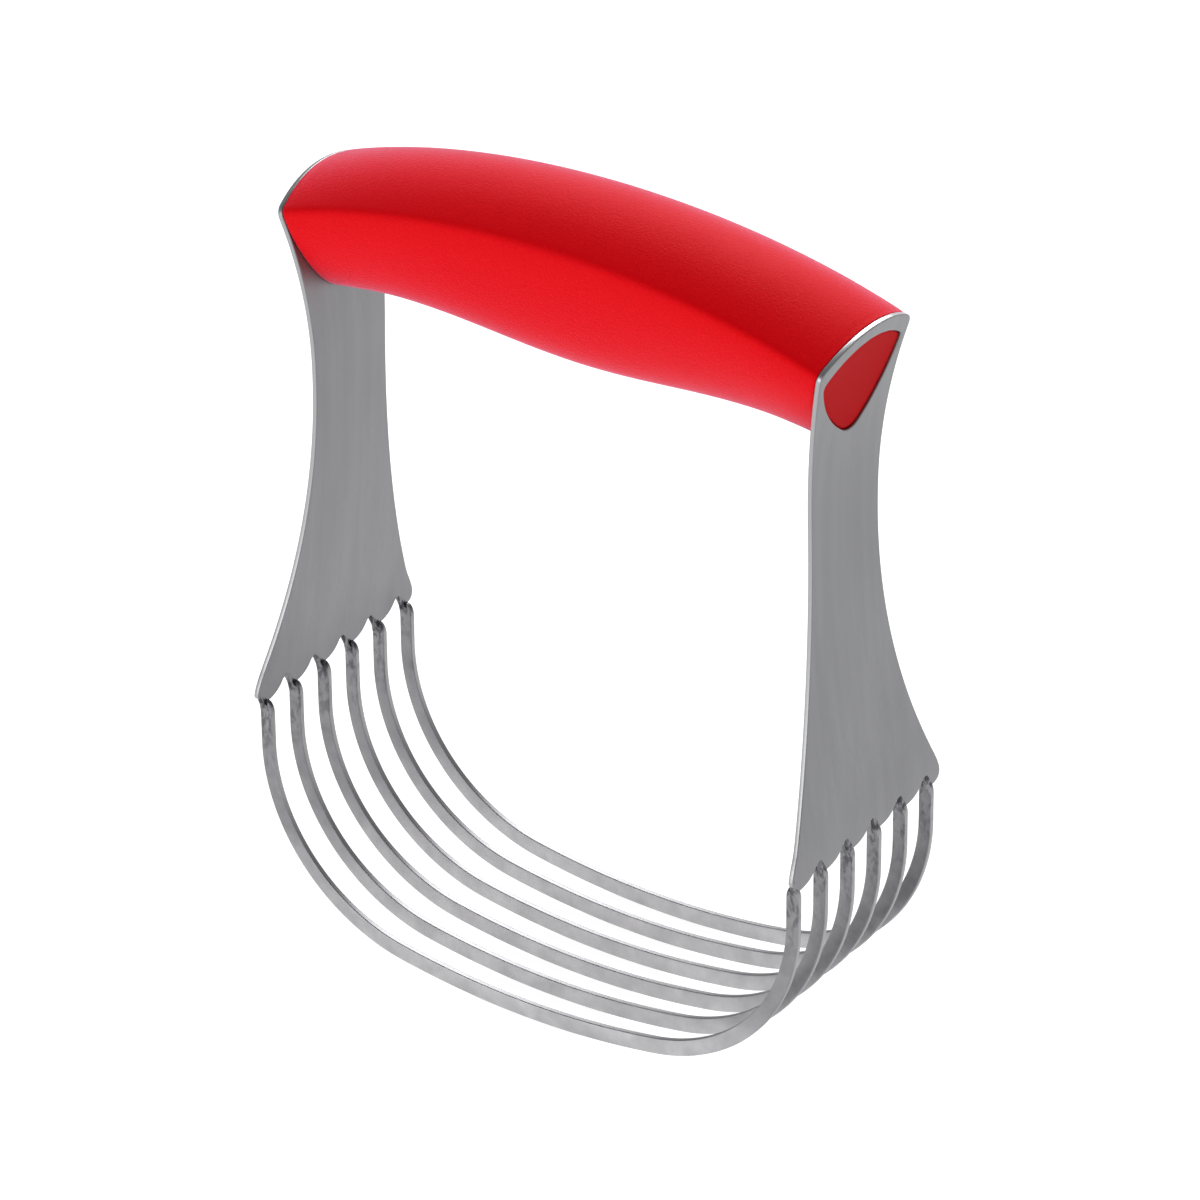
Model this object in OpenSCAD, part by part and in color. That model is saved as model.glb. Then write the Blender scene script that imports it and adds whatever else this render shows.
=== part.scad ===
// Pastry blender: a sprung steel frame of six U-shaped blades hung from two
// side plates, with a soft-touch grip across the top.
// Millimetres. The blades stand on z = 0, X runs along the grip and Y runs
// across the blades. The tool is mirrored left to right about x = 0.

/* [Frame] */
// Outside width across the blade roots
span = 115.3; // [104:0.1:130]
// Inset of the side plates at their waist from the blade roots
waist_inset = 5.2; // [3:0.1:8]
// Height of the waist, where the plates are closest together
waist_z = 111.2; // [104:0.1:116]
// Thickness of the side plates
sheet_t = 1; // [0.8:0.1:1.6]
// Outside radius of the plates above the waist
flare_r = 122.5; // [100:0.5:200]
// Outside radius of the plates below the waist
sweep_r = 348; // [240:1:420]
// Radius where the plates turn upright above the blades
foot_r = 51; // [30:1:70]

/* [Side plates] */
// Width of the plates at their narrowest
neck_w = 20.6; // [16:0.1:26]
// Height of the narrowest place
neck_z = 105.7; // [98:0.1:112]
// Width of the plates at the top corners
shoulder_w = 28.2; // [26:0.1:34]
// Height of the top corners
shoulder_z = 141.7; // [136:0.1:146]
// Rise of the crowned top edge above its corners
crown_rise = 4; // [2:0.1:6]
// Steel left beyond the outermost teeth
foot_margin = 0.2; // [0.1:0.1:1.5]
// Height of the notch peaks between the blades
notch_z = 49.2; // [46:0.1:54]
// Drop from a notch peak to the foot of its tooth
tooth_drop = 2.8; // [1.4:0.1:3.5]
// Width of a tooth's steep side, where a blade leaves it
steep_w = 2; // [1.4:0.1:2.6]
// Lead of a tooth's steep side towards the front, from its blade's middle
tooth_lead = 1.1; // [0:0.1:1.5]
// Height of the feet's outer corners above the notch peaks
corner_lift = 0.1; // [0:0.1:2]

/* [Blades] */
// Spacing of the blades
blade_pitch = 8.5; // [7:0.1:11]
// Thickness of a blade
blade_t = 1.1; // [0.8:0.1:1.8]
// Radial width of a blade at its roots
root_w = 2.6; // [2:0.1:3.6]
// Radial width of a blade at the bottom
belly_w = 3.2; // [2.4:0.1:4.5]
// Radius of the shallow bottom curve
bottom_r = 158; // [120:1:220]
// Radius of the curve between the bottom and the sides
corner_r = 36.5; // [24:0.5:42]
// Length of the quarter-turn twist between tooth and blade
twist_len = 1.8; // [1.5:0.1:4]

/* [Grip] */
// Step of the grip's crest below the plates' crowns, where they meet
crest_step = 0.5; // [0:0.01:2]
// Radius of the arched crest along the grip
crest_r = 160; // [120:1:300]
// Depth of the keel below the plates' top corners, in the middle of the grip
grip_depth = 19.3; // [16:0.1:25]
// Rise of the keel either side of the middle
keel_rise = 2.2; // [0:0.1:4]
// Inset of the grip's side creases from the plates' top corners
crease_inset = 0.2; // [0:0.1:2]
// Rise of the crown above the creases in the middle
crown_mid = 5.3; // [4:0.1:8]
// Thickness of the soft sleeve over the core
sleeve_t = 2.2; // [1.5:0.1:3]
// Gap between the sleeve and the core, and at the sleeve's ends
seat_gap = 0.02; // [0.01:0.01:0.1]
// Gap between the core's ends and the plates
core_end_gap = 0.2; // [0.15:0.05:0.5]

/* [End inserts] */
// Width of the window between its corner rounds' outsides
window_w = 23.6; // [18:0.1:24]
// Depth of the window's top corners below the plates' top corners
window_drop = 3.2; // [2:0.1:6]
// Height of the window from its lowest point to its top corners
window_h = 12.9; // [10:0.1:16]
// Radius of the window's top corners
window_corner_r = 1.4; // [0.8:0.1:3]
// Radius of the window's lower end
window_low_r = 4.6; // [3:0.1:6]
// Radius of the window's crowned top edge
window_top_r = 19.9; // [16:0.1:40]
// Radius of the window's two bowed sides
window_side_r = 24; // [18:1:60]
// Gap all round between an insert and its window
insert_gap = 0.15; // [0.05:0.05:0.4]
// Depth of an insert's face below the plate's face
insert_recess = 0.4; // [0.1:0.1:0.8]
// Radius of the peg behind an insert
peg_r = 4; // [2:0.1:5]
// Length of the peg behind an insert
peg_len = 12; // [6:0.5:20]
// Depth left in the core beyond the peg's end
peg_end_gap = 0.5; // [0.2:0.1:2]

/* [Hidden] */
// One node is named for each blade
blade_count = 6;
// Steps in each curve
arc_steps = 12;
edge_steps = 24;
crown_steps = 8;
// Stations along half of the grip, and points round a quarter of its section
grip_stations = 14;
section_steps = 8;
$fn = 64;

steel = [0.60, 0.60, 0.61];
soft_red = [0.92, 0.12, 0.15];
insert_red = [0.67, 0.11, 0.13];
core_red = [0.45, 0.08, 0.09];

// Overrun of the sheet past the plates' outline, so that the outline trims it everywhere
over = 4;
// Run of a tooth's curved rise from its foot, and of its end before the next notch peak
foot_run = 3.6;
peak_run = 1.2;
// Height still to rise where the end of a tooth's rise begins
peak_rise = 0.4;
// Drop from the front foot's corner to the front tooth's steep side
front_drop = 1.2;
// Length of edge taken up by a foot's rounded corner, and by a top corner's two sides
foot_round = 4;
corner_down = 1.6;
corner_in = 1.4;

side_x = span / 2;
waist_x = side_x - waist_inset;
// Angle at which the lower sweep hands over to the foot curve
sweep_a = acos(1 - (side_x - waist_x) / (sweep_r + foot_r));
foot_z = waist_z - (sweep_r + foot_r) * sin(sweep_a);
tooth_z = notch_z - tooth_drop;
// Half-width of the plates at their feet: the outer blades, their teeth and a margin
foot_hw = (blade_count - 1) / 2 * blade_pitch + tooth_lead + steep_w / 2 + foot_margin;
apex_z = shoulder_z + crown_rise;
keel_z = shoulder_z - grip_depth;
grip_w = shoulder_w - 2 * crease_inset;
window_corner_z = shoulder_z - window_drop;
window_low_z = window_corner_z - window_h;
foot_corner_z = notch_z + corner_lift;
// Radius of the hollow edges below the narrowest place, through the foot corners
lower_drop = neck_z - foot_corner_z;
lower_gain = foot_hw - neck_w / 2;
hollow_r = (lower_drop * lower_drop + lower_gain * lower_gain) / (2 * lower_gain);
// Radius of the hollow edges above the narrowest place, through the top corners
upper_rise = shoulder_z - neck_z;
upper_gain = (shoulder_w - neck_w) / 2;
upper_hollow_r = (upper_rise * upper_rise + upper_gain * upper_gain) / (2 * upper_gain);
crown_r = (shoulder_w * shoulder_w / 4 + crown_rise * crown_rise) / (2 * crown_rise);
// Half-length of the arch over which the grip's crown is set out
arch_l = plate_x(shoulder_z);
crest_z = apex_z - crest_step + crest_r - sqrt(crest_r * crest_r - arch_l * arch_l);
// Height of the inserts' pegs
peg_z = (window_corner_z + window_low_z) / 2 + 1;

// n + 1 points on an arc about c
function arc(c, r, a0, a1, n = arc_steps) =
    [for (i = [0:n]) let (a = a0 + (a1 - a0) * i / n) c + r * [cos(a), sin(a)]];

// A corner at p1 rounded off between p0 and p2
function bend(p0, p1, p2, n = 5) =
    [for (i = [0:n]) let (t = i / n) (1 - t) * (1 - t) * p0 + 2 * t * (1 - t) * p1 + t * t * p2];

function reversed(list) = [for (i = [len(list) - 1:-1:0]) list[i]];
function mirrored(list) = [for (p = reversed(list)) [-p[0], p[1]]];

// Outside face of the plates above the waist: distance from the middle at a height
function plate_x(z) = waist_x + flare_r - sqrt(flare_r * flare_r - (z - waist_z) * (z - waist_z));

// A plate's side view from its top down to its foot, moved inward by d
function plate_line(d) = concat(
    arc([waist_x + flare_r, waist_z], flare_r + d, 180 - asin((apex_z + over - waist_z) / flare_r), 180),
    [for (i = [1:arc_steps]) let (a = 180 + sweep_a * i / arc_steps)
        [waist_x + sweep_r, waist_z] + (sweep_r + d) * [cos(a), sin(a)]],
    [for (i = [1:6]) let (a = sweep_a * (1 - i / 6))
        [side_x - foot_r, foot_z] + (foot_r - d) * [cos(a), sin(a)]],
    [[side_x - d, tooth_z - 1]]);

// The right plate's sheet between depths d0 and d1 below its outside face
module sheet_band(d0, d1, depth)
    rotate([90, 0, 0]) linear_extrude(depth, center = true)
        polygon(concat(plate_line(d0), reversed(plate_line(d1))));

// Half-width of a plate at a height, before its corners are rounded
function plate_hw(z) = z > neck_z
    ? neck_w / 2 + upper_hollow_r - sqrt(upper_hollow_r * upper_hollow_r - (z - neck_z) * (z - neck_z))
    : neck_w / 2 + hollow_r - sqrt(hollow_r * hollow_r - (z - neck_z) * (z - neck_z));
function crown_z(y) = apex_z - crown_r + sqrt(crown_r * crown_r - y * y);

// One long edge of a plate, from the foot up to the crown
function plate_edge() =
    let (low = foot_corner_z + foot_round, top = shoulder_z - corner_down, y_in = shoulder_w / 2 - corner_in)
    concat(
        bend([foot_hw, foot_corner_z - 0.8], [foot_hw, foot_corner_z + 0.4], [plate_hw(low), low]),
        [for (i = [1:edge_steps]) let (z = low + (top - low) * i / edge_steps) [plate_hw(z), z]],
        bend([plate_hw(top), top], [shoulder_w / 2, shoulder_z], [y_in, crown_z(y_in)]));

// The saw-toothed lower edge: a short steep side where each blade joins, then a long rise
function tooth(k) = let (y = tooth_y(k), h = steep_w / 2) concat(
    [[y - h, steep_top(k)], [y + h, tooth_z]],
    k < blade_count
        ? bend([y + h, tooth_z], [y + h + foot_run, tooth_z],
               [tooth_y(k + 1) - h - peak_run, notch_z - peak_rise])
        : bend([y + h, tooth_z], [foot_hw, tooth_z + 0.2], [foot_hw, foot_corner_z - 0.9]));
// The front tooth starts from the plate's own corner and has no notch before it
function steep_top(k) = k > 1 ? notch_z : foot_corner_z - front_drop;
function tooth_y(k) = blade_y(k) - tooth_lead;
function blade_y(k) = (k - (blade_count + 1) / 2) * blade_pitch;

// Outline of a plate seen from the side
module plate_outline()
    polygon(concat(
        plate_edge(),
        [for (i = [1:2 * crown_steps - 1]) let (y = (shoulder_w / 2 - corner_in) * (1 - i / crown_steps))
            [y, crown_z(y)]],
        mirrored(plate_edge()),
        [for (k = [1:blade_count]) each tooth(k)]));

// Centre of a circle of radius r that holds two corner rounds, on the left of the way from a to b
function bow_centre(a, ra, b, rb, r) =
    let (d = norm(b - a), u = (b - a) / d, da = r - ra, db = r - rb,
         along = (da * da - db * db + d * d) / (2 * d))
    a + u * along + [-u[1], u[0]] * sqrt(da * da - along * along);
function aim(c, p) = atan2(p[1] - c[1], p[0] - c[0]);

// A bowed triangle with three rounded corners, points down, made smaller all round by inset
function window_points(inset) =
    let (rc = window_corner_r - inset, rl = window_low_r - inset,
         r_corner = [window_w / 2 - window_corner_r, window_corner_z],
         l_corner = [-r_corner[0], r_corner[1]],
         low = [0, window_low_z + window_low_r],
         side_r = window_side_r - inset, top_r = window_top_r - inset,
         side_c = bow_centre(low, rl, r_corner, rc, side_r),
         top_c = bow_centre(r_corner, rc, l_corner, rc, top_r),
         a0 = aim(side_c, low), a1 = aim(side_c, r_corner), b0 = aim(top_c, r_corner))
    concat(
        arc(low, rl, -90, a0, 6),
        arc(side_c, side_r, a0, a1),
        arc(r_corner, rc, a1, b0, 5),
        arc(top_c, top_r, b0, 90, 8));
module window_outline(inset)
    polygon(concat(window_points(inset), mirrored(window_points(inset))));

// Stands a YZ outline up and draws it out along +X from x0
module along_x(x0, length)
    translate([x0, 0, 0]) rotate([90, 0, 90]) linear_extrude(length) children();

module side_plate() {
    color(steel) difference() {
        intersection() {
            sheet_band(0, sheet_t, 2 * foot_hw + 2);
            along_x(waist_x - sheet_t - 2, side_x - waist_x + sheet_t + 10) plate_outline();
        }
        along_x(waist_x - sheet_t - 2, side_x - waist_x + sheet_t + 10) window_outline(0);
    }
}
module side_plate_left() mirror([1, 0, 0]) side_plate();
module side_plate_right() side_plate();

// Edge of the blades' U from the middle of the bottom up to the root, as seen from the front.
// w0 and w1 move it inward at the bottom and at the side.
function u_line(w0, w1) =
    let (r0 = bottom_r - w0, r1 = corner_r - (w0 + w1) / 2,
         cx = side_x - w1 - r1, cz = bottom_r - sqrt(pow(r0 - r1, 2) - cx * cx),
         turn = asin(cx / (r0 - r1)))
    concat(
        arc([0, bottom_r], r0, 270, 270 + turn),
        [for (i = [1:arc_steps]) let (a = 270 + turn + (90 - turn) * i / arc_steps)
            [cx, cz] + r1 * [cos(a), sin(a)]]);

root_z = tooth_z - twist_len;
module blade_outline() {
    half = concat(
        u_line(0, 0),
        bend([side_x, root_z - 1], [side_x, root_z], [side_x - root_w / 2, root_z], 4),
        bend([side_x - root_w / 2, root_z], [side_x - root_w, root_z], [side_x - root_w, root_z - 1], 4),
        reversed(u_line(belly_w, root_w)));
    n = len(half) / 2;
    polygon(concat(
        [for (i = [0:len(half) - 1]) half[i]],
        [for (i = [len(half) - 2:-1:1]) [-half[i][0], half[i][1]]]));
}

// The quarter turn that joins a tooth of the plate to the top of a blade
module twist(k) {
    y = tooth_y(k);
    h = steep_w / 2;
    hull() {
        along_x(side_x - sheet_t, sheet_t)
            polygon([[y - h, steep_top(k)], [y + h, tooth_z],
                     [y + h, tooth_z - 0.4], [y - h, tooth_z - 0.4]]);
        translate([side_x - root_w, blade_y(k) - blade_t / 2, root_z - 1]) cube([root_w, blade_t, 0.6]);
    }
}

module blade(k) {
    color(steel) {
        translate([0, blade_y(k), 0]) rotate([90, 0, 0])
            linear_extrude(blade_t, center = true) blade_outline();
        twist(k);
        mirror([1, 0, 0]) twist(k);
    }
}

// The grip's crest, creases and keel at a distance x from the middle
function grip_crest(x) = crest_z - crest_r + sqrt(crest_r * crest_r - x * x);
function grip_crown(x) = crown_mid + (crown_rise - crown_mid) * pow(min(abs(x) / arch_l, 1), 2);
rise_at = 0.72 * waist_x;
keel_fade = 1.5;
function grip_keel(x) = keel_z + keel_rise * (abs(x) < rise_at
    ? (1 - cos(180 * abs(x) / rise_at)) / 2
    : (1 + cos(180 * (abs(x) - rise_at) / (keel_fade * (waist_x + 4 - rise_at)))) / 2);

// Half of the grip's section at x, from crest to keel, moved inward by inset
function half_section(x, inset) =
    let (hw = grip_w / 2 - inset, top = grip_crest(x) - inset, low = grip_keel(x) + inset,
         crown = grip_crown(x), corner = top - crown,
         rc = (hw * hw + crown * crown) / (2 * crown), sweep = asin(hw / rc),
         p1 = [hw - 0.6, corner - 0.39 * (corner - low)], p2 = [0.47 * hw, low])
    concat(
        [for (i = [0:section_steps - 1]) let (a = 0.95 * sweep * i / (section_steps - 1))
            [rc * sin(a), top - rc + rc * cos(a)]],
        [for (i = [0:section_steps]) let (t = 0.06 + 0.94 * i / section_steps, s = 1 - t)
            s * s * s * [hw, corner] + 3 * s * s * t * p1 + 3 * s * t * t * p2 + t * t * t * [0, low]]);

// A whole ring of the grip; s runs from -1 at the left plate to 1 at the right plate
function grip_ring(s, inset, gap) =
    let (x = s * (waist_x - sheet_t + 2.4), half = half_section(x, inset), n = len(half),
         ring = concat(half, [for (i = [n - 2:-1:1]) [-half[i][0], half[i][1]]]))
    [for (p = ring) [s * (plate_inside(p[1]) - gap), p[0], p[1]]];
// Inside face of the plates above the waist
function plate_inside(z) = waist_x + flare_r
    - sqrt(pow(flare_r + sheet_t, 2) - (z - waist_z) * (z - waist_z));

ring_n = 2 * (2 * section_steps + 1) - 2;
// Faces that close a tube of rings, counted from a first ring
function tube_faces(first, rings, inward) = [
    for (i = [0:rings - 2]) for (j = [0:ring_n - 1])
        let (a = first + i * ring_n + j, b = first + i * ring_n + (j + 1) % ring_n,
             c = a + ring_n, d = b + ring_n)
        each inward ? [[a, b, d], [a, d, c]] : [[a, d, b], [a, c, d]]];

rings = 2 * grip_stations + 1;
// All the rings of a tube, with its two ends held back from the plates by end_gap
function all_rings(inset, end_gap) =
    [for (i = [0:rings - 1]) let (s = (i - grip_stations) / grip_stations)
        each grip_ring(s, inset, abs(s) == 1 ? end_gap : seat_gap)];

module grip_sleeve() {
    outer_n = rings * ring_n;
    last = (rings - 1) * ring_n;
    color(soft_red) polyhedron(
        concat(all_rings(0, seat_gap), all_rings(sleeve_t, seat_gap)),
        concat(
            tube_faces(0, rings, false),
            tube_faces(outer_n, rings, true),
            [for (j = [0:ring_n - 1]) let (k = (j + 1) % ring_n)
                each [[j, k, outer_n + k], [j, outer_n + k, outer_n + j]]],
            [for (j = [0:ring_n - 1]) let (k = (j + 1) % ring_n)
                each [[last + j, outer_n + last + k, last + k],
                      [last + j, outer_n + last + j, outer_n + last + k]]]));
}

module core_body() {
    last = (rings - 1) * ring_n;
    left_mid = rings * ring_n;
    mid_z = (keel_z + crest_z) / 2;
    end_x = plate_inside(mid_z) - core_end_gap;
    polyhedron(
        concat(all_rings(sleeve_t + seat_gap, core_end_gap),
               [[-end_x, 0, mid_z], [end_x, 0, mid_z]]),
        concat(
            tube_faces(0, rings, false),
            [for (j = [0:ring_n - 1]) [left_mid, j, (j + 1) % ring_n]],
            [for (j = [0:ring_n - 1]) [left_mid + 1, last + (j + 1) % ring_n, last + j]]));
}

module peg_bore()
    translate([plate_inside(peg_z) - peg_len - peg_end_gap, 0, peg_z])
        rotate([0, 90, 0]) cylinder(r = peg_r, h = peg_len + peg_end_gap + 4);

module handle_core() {
    color(core_red) difference() {
        core_body();
        peg_bore();
        mirror([1, 0, 0]) peg_bore();
    }
}

// The peg reaches from inside the core to the insert's face, so it is one with the insert
module end_insert() {
    x0 = waist_x - sheet_t - 2;
    color(insert_red) {
        intersection() {
            sheet_band(insert_recess, sheet_t, shoulder_w);
            along_x(x0, side_x - x0 + 10) window_outline(insert_gap);
        }
        intersection() {
            sheet_band(insert_recess, 2 * peg_len, 2 * peg_r + 2);
            translate([plate_inside(peg_z) - peg_len, 0, peg_z]) rotate([0, 90, 0])
                cylinder(r = peg_r, h = peg_len + sheet_t + peg_r);
        }
    }
}
module end_insert_left() mirror([1, 0, 0]) end_insert();
module end_insert_right() end_insert();

side_plate_left();
side_plate_right();
for (k = [1:blade_count])
    blade(k);
handle_core();
grip_sleeve();
end_insert_left();
end_insert_right();
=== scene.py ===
# %% [markdown]
# # A pastry blender, piece by piece
# A pastry blender cuts butter into flour. Six steel hoops hang from two
# springy side plates, and a soft red grip joins the plates across the top.
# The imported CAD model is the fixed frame: it gives every place and size.
# This lesson builds finer meshes on it and gives each one a finish.

# %% Load the frame
import math

import bmesh
import bpy
import numpy as np
from mathutils import Matrix, Vector


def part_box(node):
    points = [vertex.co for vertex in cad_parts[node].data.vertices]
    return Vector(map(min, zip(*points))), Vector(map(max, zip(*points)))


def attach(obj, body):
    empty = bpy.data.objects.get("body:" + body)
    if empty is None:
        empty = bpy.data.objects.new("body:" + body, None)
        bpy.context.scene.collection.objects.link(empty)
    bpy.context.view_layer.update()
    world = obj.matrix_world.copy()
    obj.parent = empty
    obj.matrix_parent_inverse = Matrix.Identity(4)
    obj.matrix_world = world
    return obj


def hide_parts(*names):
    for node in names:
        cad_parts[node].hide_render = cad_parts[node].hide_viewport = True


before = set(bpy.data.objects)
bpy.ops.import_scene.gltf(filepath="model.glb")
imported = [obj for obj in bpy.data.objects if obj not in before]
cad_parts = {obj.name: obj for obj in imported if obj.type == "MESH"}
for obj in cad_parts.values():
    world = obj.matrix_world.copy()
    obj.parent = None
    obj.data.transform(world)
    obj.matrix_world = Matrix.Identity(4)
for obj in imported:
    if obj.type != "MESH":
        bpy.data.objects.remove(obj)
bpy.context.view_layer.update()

MM = 0.001
print("nodes:", sorted(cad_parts))

# %% [markdown]
# ## Sizes
# Shapes are worked out in millimetres, because a kitchen tool is thought of
# that way, and turned into metres when a mesh is made. What the frame can
# tell is read from it. The radii of curves can't be read off a box, so each
# is named where its curve is drawn, with the value that the design has.

# %% Read sizes off the frame
def box_mm(node):
    low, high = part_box(node)
    return np.array(low) / MM, np.array(high) / MM


def blade_middle(k):
    low, high = box_mm(f"blade_{k}")
    return (low[1] + high[1]) / 2


plate_high = box_mm("side_plate_right")[1]
BLADE_COUNT = len([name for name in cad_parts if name.startswith("blade_")])
PITCH = (blade_middle(BLADE_COUNT) - blade_middle(1)) / (BLADE_COUNT - 1)
SIDE_X = box_mm("blade_1")[1][0]
FOOT_HALF = plate_high[1]
APEX_Z = plate_high[2]
CREST_Z = box_mm("grip_sleeve")[1][2]
print("blade pitch", round(float(PITCH), 2), "side", round(float(SIDE_X), 2))
print("plate apex", round(float(APEX_Z), 2), "grip crest", round(float(CREST_Z), 2))

# %% [markdown]
# ## The bend of a side plate
# Each plate is a flat blank bent into a long S. It could be drawn by hand as
# a curve, but seen from the front that S is three arcs that run into one
# another, so one function gives how far out the sheet is at any height. Its
# slope gives the sheet's direction, which is needed to lay thickness square
# to the surface.

# %% The sheet's side view
SHEET_T = 1.0        # thickness of the side plates
WAIST_X = 52.45      # half-width where the plates are closest
WAIST_Z = 111.2
FLARE_R = 122.5      # plates above the waist
SWEEP_R = 348.0      # plates below the waist
FOOT_R = 51.0        # plates turning upright above the blades
SLOPE_REACH = 0.05   # the slope is read this far above and below a point

SWEEP_A = math.acos(1 - (SIDE_X - WAIST_X) / (SWEEP_R + FOOT_R))
FOOT_Z = WAIST_Z - (SWEEP_R + FOOT_R) * math.sin(SWEEP_A)
SWEEP_END_Z = WAIST_Z - SWEEP_R * math.sin(SWEEP_A)


def plate_x(z):
    """Outside face of the right plate at height z."""
    if z >= WAIST_Z:
        return WAIST_X + FLARE_R - math.sqrt(FLARE_R ** 2 - (z - WAIST_Z) ** 2)
    if z >= SWEEP_END_Z:
        return WAIST_X + SWEEP_R - math.sqrt(SWEEP_R ** 2 - (z - WAIST_Z) ** 2)
    if z >= FOOT_Z:
        return SIDE_X - FOOT_R + math.sqrt(FOOT_R ** 2 - (z - FOOT_Z) ** 2)
    return SIDE_X


def on_sheet(y, z, depth):
    """A point at a depth below the outside face, measured square to the sheet."""
    slope = (plate_x(z + SLOPE_REACH) - plate_x(z - SLOPE_REACH)) / (2 * SLOPE_REACH)
    length = math.hypot(1, slope)
    return np.array([plate_x(z) - depth / length, y, z + depth * slope / length])


print("plates stand upright below", round(FOOT_Z, 2))
print("sheet at waist and top:", round(plate_x(WAIST_Z), 2), round(plate_x(APEX_Z), 2))

# %% [markdown]
# ## Arcs and bends
# Sheet metal is laid out with compass arcs and with corners eased by eye.
# Four small helpers do that: an arc, a rounded corner, the radius of an arc
# that is known only by how far it leaves a straight line, and a mirror.

# %% Drawing helpers
def arc(centre, radius, start, end, steps):
    """Points on an arc, angles in degrees."""
    angles = np.radians(np.linspace(start, end, steps + 1))
    return np.stack([centre[0] + radius * np.cos(angles), centre[1] + radius * np.sin(angles)], 1)


def bend(p0, p1, p2, steps):
    """A corner at p1 rounded off between p0 and p2."""
    t = np.linspace(0, 1, steps + 1)[:, None]
    p0, p1, p2 = (np.array(p, float) for p in (p0, p1, p2))
    return (1 - t) ** 2 * p0 + 2 * t * (1 - t) * p1 + t ** 2 * p2


def through(rise, gain):
    """Radius of the arc that leaves its tangent by gain over a length of rise."""
    return (rise ** 2 + gain ** 2) / (2 * gain)


def mirrored(points):
    """The same points on the other side of the middle, in reverse order."""
    return points[::-1] * [-1, 1]


print("an arc that leaves its tangent by 1 over 10 has radius", through(10, 1))

# %% [markdown]
# ## The outline of a side plate
# The blank is hollow-sided, wide at its feet and crowned at the top. One
# long edge is written once and mirrored, so that both sides are sure to be
# alike.

# %% One plate's long edge
NECK_HALF = 10.3      # half-width of a plate at its narrowest
NECK_Z = 105.7
SHOULDER_HALF = 14.1  # half-width of a plate at its top corners
SHOULDER_Z = 141.7
CROWN_RISE = 4.0
NOTCH_Z = 49.2        # peaks of the notches between teeth
CORNER_LIFT = 0.1     # the feet's corners stand this far above the notches
CORNER_DOWN = 1.6     # a top corner's round starts this far below it
CORNER_IN = 1.4       # and ends this far inside it
CORNER_STEPS = 10
FOOT_ROUND = 4        # a foot's corner is eased over this height
FOOT_BEND = 0.4       # around a point this far above it
FOOT_END = 0.8        # down to this far below it
EDGE_ROWS = 90
CROWN_POINTS = 22

FOOT_CORNER_Z = NOTCH_Z + CORNER_LIFT
LOWER_R = through(NECK_Z - FOOT_CORNER_Z, FOOT_HALF - NECK_HALF)
UPPER_R = through(SHOULDER_Z - NECK_Z, SHOULDER_HALF - NECK_HALF)
CROWN_R = through(SHOULDER_HALF, CROWN_RISE)


def plate_half(z):
    radius = UPPER_R if z > NECK_Z else LOWER_R
    return NECK_HALF + radius - math.sqrt(radius ** 2 - (z - NECK_Z) ** 2)


def crown_z(y):
    return APEX_Z - CROWN_R + math.sqrt(CROWN_R ** 2 - y ** 2)


def plate_edge():
    """From the foot corner up the rear edge to the middle of the crown."""
    top = SHOULDER_Z - CORNER_DOWN
    inside = SHOULDER_HALF - CORNER_IN
    start = FOOT_CORNER_Z + FOOT_ROUND
    foot = bend([FOOT_HALF, FOOT_CORNER_Z - FOOT_END], [FOOT_HALF, FOOT_CORNER_Z + FOOT_BEND],
                [plate_half(start), start], CORNER_STEPS)
    side = np.array([[plate_half(z), z] for z in np.linspace(start, top, EDGE_ROWS)[1:-1]])
    corner = bend([plate_half(top), top], [SHOULDER_HALF, SHOULDER_Z],
                  [inside, crown_z(inside)], CORNER_STEPS)
    crown = np.array([[y, crown_z(y)] for y in np.linspace(inside, 0, CROWN_POINTS)[1:]])
    return np.concatenate([foot, side, corner, crown])


edge = plate_edge()
print("long edge:", len(edge), "points")

# %% [markdown]
# ## The teeth
# The lower edge of a plate is a row of saw teeth. A blade leaves the short
# steep side of each tooth, and the long side sweeps up to the next notch.
# The teeth could be cut out with a boolean, but a loop that draws them as
# part of the outline keeps the rim clean. The first tooth starts from the
# plate's front corner and the last one runs up into the rear one.

# %% One tooth, then the whole outline
TOOTH_DROP = 2.8
STEEP_W = 2.0        # width of a tooth's steep side
TOOTH_LEAD = 1.1     # steep sides stand this far in front of their blades
FRONT_DROP = 1.2     # the first tooth starts this far below the corner
SWEEP_RUN = 3.6      # length of the flat start of a sweep
PEAK_RUN = 1.2       # a sweep ends this far before its notch
PEAK_DROP = 0.4      # and this far below it
TIP_RUN = 0.5        # the notch's tip turns around a point this far before it
TIP_RISE = 0.1       # and this far above it
REAR_RISE = 0.2      # the last tooth turns up this far above its lowest edge
REAR_END = 0.9       # and ends this far below the foot's corner

TOOTH_Z = NOTCH_Z - TOOTH_DROP


def blade_y(k):
    return (k - (BLADE_COUNT - 1) / 2) * PITCH


def tooth_y(k):
    return blade_y(k) - TOOTH_LEAD


def tooth(k):
    """The steep side where blade k leaves, then the sweep up to the next notch."""
    y = tooth_y(k)
    half = STEEP_W / 2
    steep_top = NOTCH_Z if k > 0 else FOOT_CORNER_Z - FRONT_DROP
    steep = np.linspace([y - half, steep_top], [y + half, TOOTH_Z], 7)
    if k == BLADE_COUNT - 1:
        last = bend([y + half, TOOTH_Z], [FOOT_HALF, TOOTH_Z + REAR_RISE],
                    [FOOT_HALF, FOOT_CORNER_Z - REAR_END], 6)
        return np.concatenate([steep, last[1:]])
    peak = tooth_y(k + 1) - half
    sweep = bend([y + half, TOOTH_Z], [y + half + SWEEP_RUN, TOOTH_Z],
                 [peak - PEAK_RUN, NOTCH_Z - PEAK_DROP], 12)
    tip = bend(sweep[-1], [peak - TIP_RUN, NOTCH_Z + TIP_RISE], [peak, NOTCH_Z], 5)
    return np.concatenate([steep, sweep[1:], tip[1:-1]])


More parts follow.
